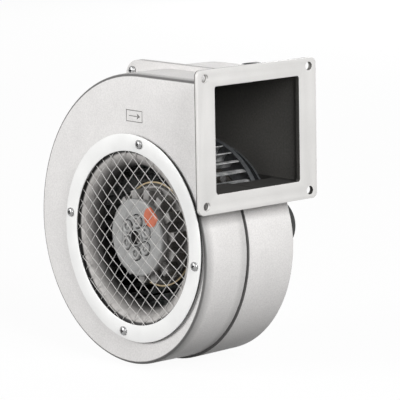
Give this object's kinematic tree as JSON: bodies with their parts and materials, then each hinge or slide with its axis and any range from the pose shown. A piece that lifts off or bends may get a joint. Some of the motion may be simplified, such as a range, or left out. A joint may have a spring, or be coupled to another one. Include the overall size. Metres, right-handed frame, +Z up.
{
  "type": "blower fan",
  "caption": "Centrifugal blower: cast scroll housing with a guarded round inlet, a forward-curved impeller on an external-rotor motor, and a square bolted outlet flange.",
  "frame": {"origin": "centre of the outlet flange's four bolt holes, on the flange's front face", "axes": "+X the way the air leaves the outlet, +Z up, the inlet looks towards -Y"},
  "size_m": [0.2242, 0.1232, 0.2374],
  "materials": {
    "cast_aluminium": "fine sand-cast texture, silver lacquer",
    "flange_steel": "smooth silver paint",
    "ring_steel": "bright satin",
    "nozzle_steel": "satin",
    "zinc_wire": "zinc plated",
    "screw_steel": "zinc plated",
    "galvanised_sheet": "galvanised",
    "grey_casting": "as cast",
    "sticker": "satin film",
    "dark_paint": "semi-matt",
    "yellow_zinc": "yellow passivated steel",
    "magnet": "matt",
    "bright_steel": "ground",
    "spring_steel": "blued",
    "core_steel": "laminated",
    "nylon": "moulded",
    "copper": "enamelled wire",
    "board": "solder mask",
    "component_black": "moulded",
    "black_rubber": "matt",
    "black_plastic": "moulded"
  },
  "bodies": {
    "housing": {"housing_front": "cast_aluminium", "housing_rear": "cast_aluminium", "seam_gasket": "black_rubber", "joint_screws": "screw_steel", "joint_nuts": "screw_steel", "outlet_flange": "flange_steel", "flange_rivets": "screw_steel", "inlet_nozzle": "nozzle_steel", "inlet_gasket": "black_rubber", "guard_mesh": "zinc_wire", "inlet_ring": "ring_steel", "ring_screws": "screw_steel", "bearing_tube": "grey_casting", "front_bearing": "bright_steel", "rear_bearing": "bright_steel", "preload_spring": "spring_steel", "stator_core": "core_steel", "stator_insulators": "nylon", "stator_coils": "copper", "drive_board": "board", "board_spacers": "nylon", "board_parts": "component_black", "motor_plate": "galvanised_sheet", "tube_screws": "screw_steel", "plate_screws": "screw_steel", "motor_cap": "black_plastic", "cap_screws": "screw_steel", "lead_sleeve": "black_rubber", "terminal_box": "black_plastic", "terminal_block": "nylon", "terminal_lid": "black_plastic", "lid_screws": "screw_steel", "cable_gland": "black_plastic", "gland_nut": "black_plastic", "lead_clip": "black_plastic", "lead_clip_screw": "screw_steel"},
    "rotor": {"impeller_blades": "galvanised_sheet", "impeller_front_ring": "galvanised_sheet", "impeller_back_plate": "galvanised_sheet", "impeller_rivets": "screw_steel", "balance_clip": "spring_steel", "rotor_nose": "grey_casting", "rotor_sticker": "sticker", "rotor_fins": "dark_paint", "rotor_shell": "yellow_zinc", "rotor_magnets": "magnet", "shaft": "bright_steel", "shaft_spacer": "bright_steel", "shaft_circlip": "spring_steel"}
  },
  "joints": [
    {"name": "impeller_spin", "type": "hinge", "parent": "housing", "child": "rotor", "pos_m": [-0.0957, -0.0449, -0.08325], "axis": [0, 1, 0], "continuous": true}
  ]
}
